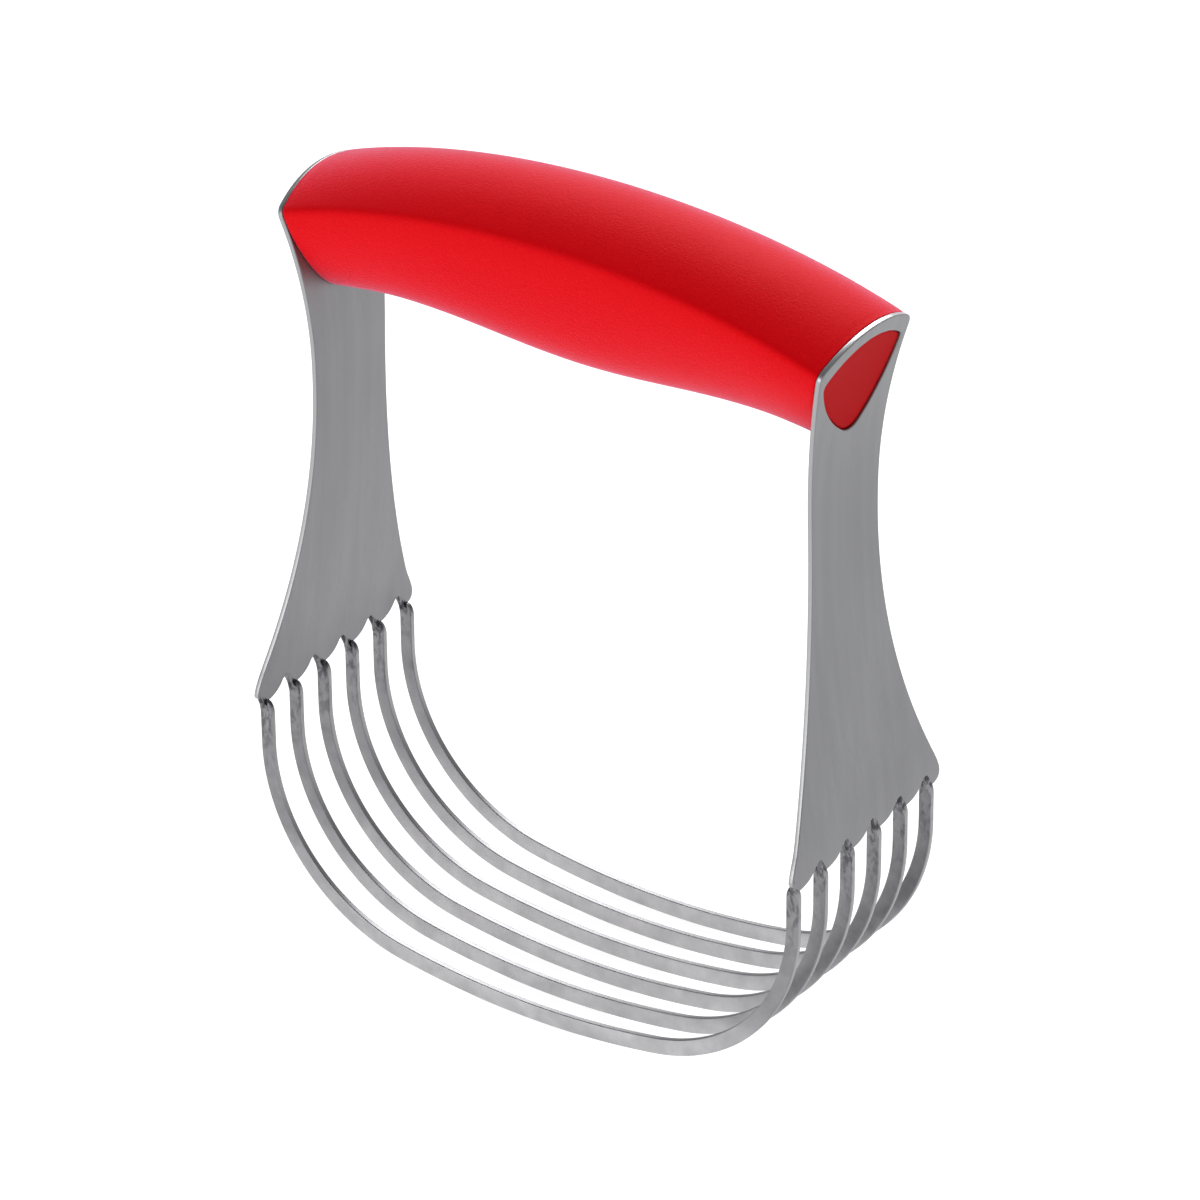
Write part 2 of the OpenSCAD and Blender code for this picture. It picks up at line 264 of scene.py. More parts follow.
teeth = [tooth(k) for k in range(BLADE_COUNT)]
PLATE_LOOP = np.concatenate([edge, mirrored(edge)[1:]] + teeth)
print("plate outline:", len(PLATE_LOOP), "points")

# %% [markdown]
# ## The window and its insert
# Near the top of each plate is a window shaped like the grip's own section:
# a bowed triangle with rounded corners. A plug of darker plastic sits in it,
# a little below the steel. Three corner rounds and three bows that just
# touch them make the shape, so a smaller copy for the plug is exact.

# %% The bowed triangle
WINDOW_HALF = 11.8
WINDOW_CORNER_Z = 138.5
WINDOW_LOW_Z = 125.6
CORNER_ROUND = 1.4
LOW_ROUND = 4.6
TOP_BOW = 19.9
SIDE_BOW = 24.0


def bow_centre(first, first_r, second, second_r, bow_r):
    """Centre of a circle of radius bow_r that just holds the rounds at both ends."""
    along = np.array(second) - np.array(first)
    gap = np.linalg.norm(along)
    along = along / gap
    to_first = bow_r - first_r
    to_second = bow_r - second_r
    reach = (to_first * to_first - to_second * to_second + gap * gap) / (2 * gap)
    across = np.array([-along[1], along[0]])
    return np.array(first) + along * reach + across * math.sqrt(to_first * to_first - reach * reach)


def aim(centre, point):
    return math.degrees(math.atan2(point[1] - centre[1], point[0] - centre[0]))


def window_loop(inset):
    """The window's outline, made smaller all round by inset."""
    corner_r = CORNER_ROUND - inset
    low_r = LOW_ROUND - inset
    right = [WINDOW_HALF - CORNER_ROUND, WINDOW_CORNER_Z]
    left = [-right[0], right[1]]
    low = [0, WINDOW_LOW_Z + LOW_ROUND]
    side = bow_centre(low, low_r, right, corner_r, SIDE_BOW - inset)
    top = bow_centre(right, corner_r, left, corner_r, TOP_BOW - inset)
    side_start, side_end, top_start = aim(side, low), aim(side, right), aim(top, right)
    half = np.concatenate([
        arc(low, low_r, -90, side_start, 10),
        arc(side, SIDE_BOW - inset, side_start, side_end, 22)[1:],
        arc(right, corner_r, side_end, top_start, 9)[1:],
        arc(top, TOP_BOW - inset, top_start, 90, 18)[1:]])
    return np.concatenate([half, mirrored(half)[1:-1]])


print("window outline:", len(window_loop(0)), "points")

# %% [markdown]
# ## From an outline to bent sheet
# A stamped blank is flat first and bent afterwards, and the mesh is made the
# same way. The flat solid gets rounded rims and two filled faces, it is cut
# across at close heights so that it can bend smoothly, and then each point
# is moved onto the curved sheet. A point attribute named rim marks the
# rounded edges, where the finish makes the steel smoother and paints a
# highlight on it. A Bevel modifier could round the rims too, but rings drawn
# one inside another follow every tooth.

# %% Walls with rounded rims
RIM_STEPS = 4


def shrink(loop, distance):
    """Moves each point of a counter-clockwise loop inward, square to its neighbours."""
    before = loop - np.roll(loop, 1, 0)
    after = np.roll(loop, -1, 0) - loop
    before = before / np.linalg.norm(before, axis=1)[:, None]
    after = after / np.linalg.norm(after, axis=1)[:, None]
    normal = np.stack([-(before + after)[:, 1], (before + after)[:, 0]], 1)
    normal /= np.maximum(np.linalg.norm(normal, axis=1)[:, None], 1e-9)
    return loop + normal * distance


def rim_profile(top, bottom, rim):
    """Pairs of (inset, depth) from one face round the edge to the other."""
    turn = np.radians(np.linspace(0, 90, RIM_STEPS + 1))
    first = [(rim * (1 - math.sin(a)), top + rim * (1 - math.cos(a))) for a in turn]
    return first + [(inset, bottom - (depth - top)) for inset, depth in reversed(first)]


def band(bm, rings):
    """Faces between each ring of points and the next."""
    n = len(rings[0])
    for a, b in zip(rings, rings[1:]):
        for i in range(n):
            bm.faces.new((a[i], a[(i + 1) % n], b[(i + 1) % n], b[i]))


def add_wall(bm, loop, profile, way):
    """One closed wall round a loop; returns its first and last rings of edges."""
    rings = []
    for inset, depth in profile:
        ring = shrink(loop, way * inset)
        rings.append([bm.verts.new((depth, y, z)) for y, z in ring])
    band(bm, rings)
    n = len(loop)
    return [[bm.edges.get((ring[i], ring[(i + 1) % n])) for i in range(n)]
            for ring in (rings[0], rings[-1])]


print("steps in a rim:", len(rim_profile(0, SHEET_T, 0.1)))

# %% Build a flat blank and bend it
INWARD, OUTWARD = 1, -1


def finished(name, bm, angle):
    """Turns a bmesh into an object, smooth but for edges sharper than the angle."""
    mesh = bpy.data.meshes.new(name)
    bm.to_mesh(mesh)
    bm.free()
    mesh.shade_smooth()
    mesh.set_sharp_from_angle(angle=math.radians(angle))
    piece = bpy.data.objects.new(name, mesh)
    bpy.context.scene.collection.objects.link(piece)
    weigh = piece.modifiers.new("face weights", "WEIGHTED_NORMAL")
    weigh.keep_sharp = True
    weigh.weight = 80
    print(name, len(mesh.vertices), "points", len(mesh.polygons), "faces")
    return piece


def bent_sheet(name, loop, hole, top, bottom, rim, step, side):
    """A mesh object of sheet between two depths, bent onto the plate's curve."""
    bm = bmesh.new()
    profile = rim_profile(top, bottom, rim)
    walls = [add_wall(bm, loop, profile, INWARD)]
    if hole is not None:
        walls.append(add_wall(bm, hole, profile, OUTWARD))
    for face in (0, 1):
        edges = [e for wall in walls for e in wall[face]]
        bmesh.ops.triangle_fill(bm, edges=edges, use_beauty=True, use_dissolve=False)
    for z in np.arange(loop[:, 1].min() + step / 2, loop[:, 1].max(), step):
        everything = bm.verts[:] + bm.edges[:] + bm.faces[:]
        bmesh.ops.bisect_plane(bm, geom=everything, dist=1e-5, plane_co=(0, 0, z), plane_no=(0, 0, 1))
    layer = bm.verts.layers.float.new("rim")
    for v in bm.verts:
        depth, y, z = v.co
        v[layer] = min(1.0, min(depth - top, bottom - depth) / rim)
        place = on_sheet(y, z, depth) * MM
        v.co = Vector((side * place[0], place[1], place[2]))
    bmesh.ops.recalc_face_normals(bm, faces=bm.faces[:])
    return finished(name, bm, 45)


# %% Make both plates
PLATE_RIM = 0.22
PLATE_STEP = 1.0     # height between the cuts that let it bend
SIDES = {"left": -1, "right": 1}
plates = {}
for side, sign in SIDES.items():
    plates[side] = bent_sheet(f"plate_{side}", PLATE_LOOP, window_loop(0), 0, SHEET_T,
                              PLATE_RIM, PLATE_STEP, sign)

# %% Make both inserts
INSERT_GAP = 0.15
INSERT_RECESS = 0.4
INSERT_BEHIND = 0.9  # the plug reaches this far behind the plate
INSERT_RIM = 0.3
INSERT_STEP = 0.8
inserts = {}
for side, sign in SIDES.items():
    inserts[side] = bent_sheet(f"insert_{side}", window_loop(INSERT_GAP), None, INSERT_RECESS,
                               SHEET_T + INSERT_BEHIND, INSERT_RIM, INSERT_STEP, sign)

# %% [markdown]
# ## A blade
# Each blade is a strip of steel that stands on edge and runs down one side,
# under and up the other. Its outer and inner edges are arcs of different
# radii, so the strip is deepest at the bottom. A curve with a bevel would
# give it one depth all along, so the mesh is a rounded rectangle carried
# along between the two edges, closing to a round end at each root.

# %% The blade's two edges
ROOT_W = 2.6         # radial width of a blade at its roots
BELLY_W = 3.2        # and at the bottom
BOTTOM_R = 158.0
CORNER_R = 36.5
TWIST_LEN = 1.8
CURVE_STEPS = 40
UPRIGHT_POINTS = 10

ROOT_Z = TOOTH_Z - TWIST_LEN


def u_line(at_bottom, at_side):
    """The blade's edge from the middle of the bottom to the root, moved inward."""
    bottom_r = BOTTOM_R - at_bottom
    corner_r = CORNER_R - (at_bottom + at_side) / 2
    x = SIDE_X - at_side - corner_r
    z = BOTTOM_R - math.sqrt((bottom_r - corner_r) ** 2 - x ** 2)
    turn = math.degrees(math.asin(x / (bottom_r - corner_r)))
    upright = np.linspace([SIDE_X - at_side, z], [SIDE_X - at_side, ROOT_Z], UPRIGHT_POINTS)
    return np.concatenate([
        arc([0, BOTTOM_R], bottom_r, 270, 270 + turn, CURVE_STEPS)[:-1],
        arc([x, z], corner_r, 270 + turn, 360, CURVE_STEPS),
        upright[1:]])


def strip_section(half_w, half_t, corner):
    """A rounded rectangle, counter-clockwise, as (width, thickness) pairs."""
    corner = min(corner, half_w * 0.9, half_t * 0.9)
    points = []
    for sx, sy, start in ((1, 1, 0), (-1, 1, 90), (-1, -1, 180), (1, -1, 270)):
        centre = [sx * (half_w - corner), sy * (half_t - corner)]
        points.append(arc(centre, corner, start, start + 90, 3))
    return np.concatenate(points)


print("points along half a blade:", len(u_line(0, 0)))

# %% Carry the section along the blade
BLADE_T = 1.1
STRIP_CORNER = 0.24
ROOT_STEPS = 8
ROOT_DOME = 1.9      # height of a root's round end, in half-widths
ROOT_TIP = 0.12      # half-width where it ends
ROOT_THIN = 0.55     # thickness left there, as a share
ROOT_SWELL = 0.45    # and what it has besides where it begins


def skin_rings(bm, rings):
    """Joins rings of equal length and closes both ends."""
    made = [[bm.verts.new(Vector(p * MM)) for p in ring] for ring in rings]
    band(bm, made)
    bm.faces.new(made[0])
    bm.faces.new(reversed(made[-1]))


def mirror_order():
    """Order that keeps a mirrored section's points in line with the section's own."""
    ring = strip_section(1, 1, 0.5)
    return [int(np.argmin(np.linalg.norm(ring - p, axis=1))) for p in ring]


def blade_rings():
    outer, inner = u_line(0, 0), u_line(BELLY_W, ROOT_W)
    middle = (outer + inner) / 2
    across = outer - inner
    width = np.linalg.norm(across, axis=1)
    across = across / width[:, None]
    stations = [(m, a, w / 2, 1.0) for m, a, w in zip(middle, across, width)]
    for t in np.linspace(0, 1, ROOT_STEPS + 1)[1:]:
        full = math.sqrt(max(0.0, 1 - t * t))
        rise = middle[-1] + np.array([0, t * ROOT_W / 2 * ROOT_DOME])
        half_w = max(ROOT_TIP, ROOT_W / 2 * full)
        stations.append((rise, across[-1], half_w, ROOT_THIN + ROOT_SWELL * full))
    half = []
    for centre, direction, half_w, thin in stations:
        ring = [[centre[0] + direction[0] * w, t, centre[1] + direction[1] * w]
                for w, t in strip_section(half_w, BLADE_T / 2 * thin, STRIP_CORNER)]
        half.append(np.array(ring))
    order = mirror_order()
    other = [(ring * [-1, 1, 1])[order] for ring in reversed(half[1:])]
    return other + half


print("blade stations:", len(blade_rings()))

# %% [markdown]
# ## The quarter-turn twist
# The strip leaves its tooth lying flat in the plate and has to stand on edge
# a few millimetres lower, so it is wrung through a quarter turn. The front
# edge turns outward. A Simple Deform twist would turn it evenly about one
# straight axis; here sections turn along a short path that leans in, pinched
# a little in the middle as wrung metal is, and the two ends run into the
# plate and the blade.

# %% Wring the necks
NECK_STATIONS = 22
NECK_PINCH = 0.12
NECK_SLIM = 0.98       # a neck's thickness as a share of the sheet's
NECK_IN_PLATE = 0.35   # a neck starts this far above the middle of its steep side
NECK_IN_BLADE = 0.7    # and runs this far down into its blade


def neck_rings(sign):
    top = NOTCH_Z - TOOTH_DROP / 2 + NECK_IN_PLATE
    bottom = ROOT_Z - NECK_IN_BLADE
    rings = []
    for s in np.linspace(0, 1, NECK_STATIONS):
        ease = s * s * (3 - 2 * s)
        angle = math.radians(90 * ease)
        half_w = (STEEP_W + (ROOT_W - STEEP_W) * s) / 2 * (1 - NECK_PINCH * math.sin(math.pi * s))
        reach = half_w * math.sin(angle) + SHEET_T / 2 * math.cos(angle)
        centre = [SIDE_X - reach, top + (bottom - top) * s]
        slant = TOOTH_DROP / 2 * (1 - ease)
        lead = TOOTH_LEAD * (1 - ease)
        ring = []
        for w, t in strip_section(half_w, SHEET_T / 2 * NECK_SLIM, STRIP_CORNER):
            x = centre[0] + w * math.sin(angle) + t * math.cos(angle)
            y = -w * math.cos(angle) + t * math.sin(angle) - lead
            ring.append([sign * x, y, centre[1] + slant * w / half_w])
        rings.append(np.array(ring))
    return rings


bm = bmesh.new()
skin_rings(bm, blade_rings())
for sign in SIDES.values():
    skin_rings(bm, neck_rings(sign))
bmesh.ops.recalc_face_normals(bm, faces=bm.faces[:])
one_blade = finished("one_blade", bm, 50)

# %% [markdown]
# ## Six blades from one
# The blades are alike. They could be copied by hand or with an Array
# modifier, but a Geometry Nodes tree keeps their number and spacing as named
# inputs. A line of points is spaced by the pitch, the blade is placed on
# each point, and the copies are made real, because an exporter drops
# instances.

# %% A row of copies
def row_tree():
    tree = bpy.data.node_groups.new("row of blades", "GeometryNodeTree")
    for name, kind in (("Count", "Int"), ("Pitch", "Float"), ("Blade", "Object"), ("Material", "Material")):
        tree.interface.new_socket(name, in_out="INPUT", socket_type="NodeSocket" + kind)
    tree.interface.new_socket("Geometry", in_out="OUTPUT", socket_type="NodeSocketGeometry")
    make, link = tree.nodes.new, tree.links.new
    given, out = make("NodeGroupInput"), make("NodeGroupOutput")
    gaps = make("ShaderNodeMath")
    gaps.operation = "SUBTRACT"
    gaps.inputs[1].default_value = 1
    link(given.outputs["Count"], gaps.inputs[0])
    length = make("ShaderNodeMath")
    length.operation = "MULTIPLY"
    link(gaps.outputs[0], length.inputs[0])
    link(given.outputs["Pitch"], length.inputs[1])
    half = make("ShaderNodeMath")
    half.operation = "MULTIPLY"
    half.inputs[1].default_value = -0.5
    link(length.outputs[0], half.inputs[0])
    start, step = make("ShaderNodeCombineXYZ"), make("ShaderNodeCombineXYZ")
    link(half.outputs[0], start.inputs["Y"])
    link(given.outputs["Pitch"], step.inputs["Y"])
    line = make("GeometryNodeMeshLine")
    link(given.outputs["Count"], line.inputs["Count"])
    link(start.outputs[0], line.inputs["Start Location"])
    link(step.outputs[0], line.inputs["Offset"])
    source = make("GeometryNodeObjectInfo")
    link(given.outputs["Blade"], source.inputs["Object"])
    place = make("GeometryNodeInstanceOnPoints")
    link(line.outputs["Mesh"], place.inputs["Points"])
    link(source.outputs["Geometry"], place.inputs["Instance"])
    real = make("GeometryNodeRealizeInstances")
    link(place.outputs["Instances"], real.inputs["Geometry"])
    paint = make("GeometryNodeSetMaterial")
    link(real.outputs["Geometry"], paint.inputs["Geometry"])
    link(given.outputs["Material"], paint.inputs["Material"])
    link(paint.outputs["Geometry"], out.inputs["Geometry"])
    print("row tree:", len(tree.nodes), "nodes")
    return tree


def baked(name, source):
    """A plain mesh object of what a piece looks like with its modifiers."""
    seen = source.evaluated_get(bpy.context.evaluated_depsgraph_get())
    mesh = bpy.data.meshes.new_from_object(seen)
    piece = bpy.data.objects.new(name, mesh)
    bpy.context.scene.collection.objects.link(piece)
    bpy.data.objects.remove(source)
    return piece


# %% [markdown]
# ## The grip
# The grip is a soft skin over a hard core. Its section is the same bowed
# triangle as the windows: a crowned top, two soft creases and a rounded
# keel that the fingers close round. It could be sculpted from a subdivided
# block, but the crest is one long arc and the keel swells in the middle by
# rule, so a loft holds the shape better. Each ring is drawn, evened out and
# softened, and its ends are trimmed to the curve of the plates.

# %% The grip along its length
CREST_R = 160.0
KEEL_Z = 122.4
KEEL_RISE = 2.2
CROWN_MID = 5.3
ARCH_LENGTH = plate_x(SHOULDER_Z)
RISE_AT = 0.72 * WAIST_X    # the keel is highest here
FALL_REACH = 4              # the grip's end is taken to lie this far past the waist
FALL_STRETCH = 1.5          # the keel's fall is drawn this many times as long as the way to it


def crest_at(x):
    return CREST_Z - CREST_R + math.sqrt(CREST_R ** 2 - x ** 2)


def crown_at(x):
    return CROWN_MID + (CROWN_RISE - CROWN_MID) * min(abs(x) / ARCH_LENGTH, 1) ** 2


def keel_at(x):
    x = abs(x)
    if x < RISE_AT:
        return KEEL_Z + KEEL_RISE * (1 - math.cos(math.pi * x / RISE_AT)) / 2
    fall = (x - RISE_AT) / (FALL_STRETCH * (WAIST_X + FALL_REACH - RISE_AT))
    return KEEL_Z + KEEL_RISE * (1 + math.cos(math.pi * fall)) / 2


print("grip deep in the middle:", round(crest_at(0) - keel_at(0), 2))

# %% One ring of the grip
GRIP_HALF_W = 13.9
CREASE_IN = 0.6      # the flank leans in by this much below the crease
FLANK_FALL = 0.39    # over this share of its height
KEEL_FLAT = 0.47     # the keel is flat over this share of the half-width
RING_POINTS = 168
SOFTENING = 3


def grip_section(x):
    """The closed section at x, evened out and softened at its creases."""
    top, low, crown = crest_at(x), keel_at(x), crown_at(x)
    corner = top - crown
    radius = through(GRIP_HALF_W, crown)
    sweep = math.degrees(math.asin(GRIP_HALF_W / radius))
    cap = arc([0, top - radius], radius, 90, 90 - sweep, 60)
    t = np.linspace(0, 1, 90)[1:, None]
    p0 = np.array([GRIP_HALF_W, corner])
    p1 = np.array([GRIP_HALF_W - CREASE_IN, corner - FLANK_FALL * (corner - low)])
    p2 = np.array([KEEL_FLAT * GRIP_HALF_W, low])
    p3 = np.array([0, low])
    flank = (1 - t) ** 3 * p0 + 3 * (1 - t) ** 2 * t * p1 + 3 * (1 - t) * t ** 2 * p2 + t ** 3 * p3
    half = np.concatenate([cap, flank])
    ring = np.concatenate([half, mirrored(half[1:-1])])
    closed = np.concatenate([ring, ring[:1]])
    run = np.concatenate([[0], np.cumsum(np.linalg.norm(np.diff(closed, axis=0), axis=1))])
    even = np.linspace(0, run[-1], RING_POINTS + 1)[:-1]
    ring = np.stack([np.interp(even, run, closed[:, i]) for i in (0, 1)], 1)
    for _ in range(SOFTENING):
        ring = 0.25 * np.roll(ring, 1, 0) + 0.5 * ring + 0.25 * np.roll(ring, -1, 0)
    return ring


print("grip ring:", len(grip_section(0)), "points")

# %% Loft the grip
GRIP_STATIONS = 120
SECTION_OUT = 2.4    # the end sections are drawn for a place this far past the waist
END_GAP = 0.02
END_ROLL = 0.35
END_STEPS = 5


def plate_inside(z):
    return WAIST_X + FLARE_R - math.sqrt((FLARE_R + SHEET_T) ** 2 - (z - WAIST_Z) ** 2)


def grip_ring(s, inset=0.0, short=0.0):
    """A ring at s, from -1 at the left plate to 1 at the right one."""
    section = grip_section(s * (WAIST_X - SHEET_T + SECTION_OUT))
    middle = section.mean(0)
    section = middle + (section - middle) * (1 - inset / GRIP_HALF_W)
    return np.array([[s * (plate_inside(z) - END_GAP - short), y, z] for y, z in section])


def grip_rings():
    ends = []
    for a in np.radians(np.linspace(0, 90, END_STEPS + 1)):
        ends.append(grip_ring(1, END_ROLL * (1 - math.sin(a)), END_ROLL * (1 - math.cos(a))))
    span = 1 - END_ROLL / WAIST_X
    body = [grip_ring(s) for s in np.linspace(span, -span, GRIP_STATIONS)]
    far = [ring * [-1, 1, 1] for ring in reversed(ends)]
    return ends + body[1:-1] + far


bm = bmesh.new()
skin_rings(bm, grip_rings())
bmesh.ops.recalc_face_normals(bm, faces=bm.faces[:])
grip = finished("grip_skin", bm, 60)

# %% [markdown]
# ## Writing finishes
# A finish is a small network of nodes. Two helpers keep it readable. A Wire
# is a socket that can be added, multiplied and subtracted like a number, and
# a Finish makes any node in one call and ends in the surface shader.

# %% A wire that does arithmetic
class Wire:
    """A shader socket used as a number in a Python expression."""

    def __init__(self, finish, socket):
        self.finish = finish
        self.socket = socket

    def __add__(self, other):
        return self.finish.math("ADD", self, other)

    def __radd__(self, other):
        return self.finish.math("ADD", other, self)

    def __sub__(self, other):
        return self.finish.math("SUBTRACT", self, other)

    def __rsub__(self, other):
        return self.finish.math("SUBTRACT", other, self)

    def __mul__(self, other):
        return self.finish.math("MULTIPLY", self, other)

    def __rmul__(self, other):
        return self.finish.math("MULTIPLY", other, self)


# %% A finish
class Finish:
    """A material with a surface shader, and one method that makes any node."""

    def __init__(self, name, **constants):
        self.material = bpy.data.materials.new(name)
        self.material.use_nodes = True
        self.tree = self.material.node_tree
        self.tree.nodes.clear()
        self.skin = self.tree.nodes.new("ShaderNodeBsdfPrincipled")
        out = self.tree.nodes.new("ShaderNodeOutputMaterial")
        self.tree.links.new(self.skin.outputs[0], out.inputs["Surface"])
        for socket in self.skin.inputs:
            word = socket.name.lower().replace(" ", "_")
            if word in constants:
                socket.default_value = constants[word]
        self.place = self.node("ShaderNodeTexCoord", out="Object")

    def fill(self, socket, value):
        if isinstance(value, Wire):
            self.tree.links.new(value.socket, socket)
        else:
            socket.default_value = value

    def node(self, kind, settings=None, values=None, out=0):
        made = self.tree.nodes.new(kind)
        for name, value in (settings or {}).items():
            setattr(made, name, value)
        for name, value in (values or {}).items():
            self.fill(made.inputs[name], value)
        return Wire(self, made.outputs[out])

    def math(self, operation, first, second):
        return self.node("ShaderNodeMath", {"operation": operation}, {0: first, 1: second})

    def noise(self, stretch, detail, rough=0.5):
        """Noise whose grains are 1/stretch metres along each axis."""
        moved = self.node("ShaderNodeMapping", {}, {"Vector": self.place, "Scale": stretch})
        return self.node("ShaderNodeTexNoise", {},
                         {"Vector": moved, "Scale": 1.0, "Detail": detail, "Roughness": rough})

    def spread(self, wire, low, high):
        """Stretches the part of a wire between low and high over 0 to 1."""
        return self.node("ShaderNodeMapRange", {"clamp": True},
                         {"Value": wire, "From Min": low, "From Max": high})

    def mix(self, factor, first, second):
        """A colour between two, with 0 for the first and 1 for the second."""
        return self.node("ShaderNodeMix", {"data_type": "RGBA"}, {0: factor, 6: first, 7: second}, 2)

    def wear(self, base, roughness, height, depth, strength):
        """Feeds the surface: its colour, its roughness and its fine relief."""
        self.fill(self.skin.inputs["Base Color"], base)
        self.fill(self.skin.inputs["Roughness"], roughness)
        bump = self.node("ShaderNodeBump", {},
                         {"Height": height, "Distance": depth, "Strength": strength})
        self.fill(self.skin.inputs["Normal"], bump)
        print(self.material.name, len(self.tree.nodes), "nodes")
        return self.material


# %% [markdown]
# ## Brushed steel
# The plates are brushed up and down after stamping: very fine, long
# scratches with faint broad streaks among them. An anisotropic shader would
# give the spread of light but no scratches, so noise squeezed across the
# plate and stretched up it makes both. The rims are made smoother, as
# tumbling leaves them, and are painted brighter, a painted highlight for the
# light they catch. The rim attribute says where they are.

# %% The plates' steel
def plate_finish():
    steel = Finish("brushed_steel_plate", metallic=1.0)
    scratch_dark, scratch_bright = (0.205, 0.207, 0.216, 1), (0.250, 0.252, 0.261, 1)
    streak_bright, cloud_dark = (0.272, 0.274, 0.283, 1), (0.190, 0.192, 0.200, 1)
    # painted highlight: the rims are coloured brighter, for the light they catch
    rim_highlight_colour = (0.40, 0.40, 0.41, 1)
    grain = steel.noise((5200, 5200, 55), 4.0, 0.6)
    streak = steel.noise((420, 420, 9), 3.0, 0.55)
    cloud = steel.noise((38, 38, 24), 2.0)
    rim = steel.node("ShaderNodeAttribute", {"attribute_name": "rim"}, out="Fac")
    rim_smoothing_and_highlight = steel.spread(rim, 0.25, 0.9)
    lines = steel.spread(grain, 0.3, 0.7)
    bands = steel.spread(streak, 0.25, 0.75)
    face = steel.mix(lines, scratch_dark, scratch_bright)
    face = steel.mix(bands * 0.35, face, streak_bright)
    face = steel.mix(steel.spread(cloud, 0.35, 0.7) * 0.35, face, cloud_dark)
    # the rims get their painted highlight here; below they are also made smoother
    colour = steel.mix(rim_smoothing_and_highlight * 0.85, face, rim_highlight_colour)
    rough = 0.40 + lines * 0.08 - bands * 0.05 + cloud * 0.05 - rim_smoothing_and_highlight * 0.10
    relief = (grain * 0.7 + streak * 0.3) * (1 - rim_smoothing_and_highlight * 0.8)
    return steel.wear(colour, rough, relief, 0.000012, 0.55)


plate_steel = plate_finish()

# %% [markdown]
# ## Satin steel
# The strips are satin along their length. Their colour is painted brighter
# at the bottom, a painted highlight for the light that the bottoms reflect.
# Near the roots there are dark mottled marks, which fade out below, and the
# twisted necks are painted dark, a painted shade in their creases. One ramp
# over the whole height would blur these into each other, so each has its own
# range of heights, in metres. The narrow edges of a strip are told from its
# faces by which way they point. They get a colour of their own, paler than the
# faces up high, a painted highlight, and darker at the bottom, a painted shade
# that tones down their bright reflection there.

# %% The blades' steel
def blade_finish():
    steel = Finish("satin_steel_blade", metallic=1.0)
    # painted highlight: the lower colours are brighter, for the light the bottoms reflect
    lit_bottom_dark, lit_bottom_bright = (0.42, 0.42, 0.43, 1), (0.54, 0.54, 0.55, 1)
    high_dark, high_bright = (0.21, 0.21, 0.22, 1), (0.29, 0.29, 0.30, 1)
    cloud_dark, mottling_dark = (0.18, 0.18, 0.19, 1), (0.09, 0.09, 0.10, 1)
    # painted shade: a dark colour for the shade in the creases of the twisted necks
    twist_painted_shade = (0.06, 0.06, 0.07, 1)
    # narrow edges: a painted shade at the bottom to tone down their reflection, a painted highlight higher
    # up
    edge_painted_shade, edge_painted_highlight = (0.13, 0.13, 0.14, 1), (0.34, 0.34, 0.35, 1)
    grain = steel.noise((240, 3600, 240), 4.0, 0.6)
    cloud = steel.noise((260, 260, 190), 3.0)
    marks = steel.noise((900, 900, 420), 4.0, 0.65)
    height = steel.node("ShaderNodeSeparateXYZ", {}, {0: steel.place}, out="Z")
    root = steel.spread(height, 0.030, 0.046)
    twist = steel.spread(height, 0.0448, 0.0464)
    # dark mottled marks near the roots, fading out below
    root_mottling = steel.spread(marks, 0.48, 0.62) * root
    lines = steel.spread(grain, 0.3, 0.7)
    low = steel.mix(lines, lit_bottom_dark, lit_bottom_bright)
    high = steel.mix(lines, high_dark, high_bright)
    # painted highlight at the bottom, fading into the plainer sides above
    face = steel.mix(steel.spread(height, 0.004, 0.022), low, high)
    face = steel.mix(steel.spread(cloud, 0.35, 0.7) * 0.22, face, cloud_dark)
    face = steel.mix(root_mottling * 0.9, face, mottling_dark)
    # painted shade over the necks, broken up by noise
    face = steel.mix(twist * steel.spread(marks, 0.42, 0.55) * 0.8, face, twist_painted_shade)
    rough = 0.38 + lines * 0.08 + root_mottling * 0.15
    facing = steel.node("ShaderNodeTexCoord", out="Normal")
    across = steel.node("ShaderNodeSeparateXYZ", {}, {0: facing}, out="Y")
    narrow = steel.spread(steel.math("ABSOLUTE", across, 0.0), 0.75, 0.35)
    # painted shade low down, painted highlight high up, on the narrow edges only
    edge = steel.mix(steel.spread(height, 0.008, 0.030), edge_painted_shade, edge_painted_highlight)
    face = steel.mix(narrow * (1 - twist) * 0.7, face, edge)
    return steel.wear(face, rough, grain * 0.4 + marks * root * 0.6, 0.00002, 0.5)


blade_steel = blade_finish()

# %% [markdown]
# ## Soft-touch red
# The skin is moulded in a soft rubbery plastic with a sand-blasted surface.
# It has no gloss of its own, but a fine grain that catches light at a low
# angle and turns it pale. Two sizes of noise make the grain, and a little
# constant sheen makes the pale veil. A paler colour would turn the whole
# grip pink instead.

# %% The grip's skin
def grip_finish():
    red = Finish("soft_touch_red", sheen_weight=0.85, sheen_roughness=0.30,
                 sheen_tint=(1.0, 0.62, 0.92, 1), specular_ior_level=0.03)
    grain_dark, grain_bright = (0.74, 0.0005, 0.0035, 1), (0.80, 0.001, 0.005, 1)
    handled = (0.70, 0.0008, 0.004, 1)
    fine = red.noise((3600, 3600, 3600), 2.0)
    coarse = red.noise((2300, 2300, 2300), 2.0, 0.6)
    hand = red.noise((45, 60, 60), 3.0)
    base = red.mix(red.spread(coarse, 0.3, 0.7), grain_dark, grain_bright)
    base = red.mix(red.spread(hand, 0.35, 0.75) * 0.25, base, handled)
    rough = 0.50 + fine * 0.10 + red.spread(hand, 0.3, 0.7) * 0.05
    return red.wear(base, rough, fine * 0.4 + coarse * 0.6, 0.0002, 0.7)


soft_red = grip_finish()

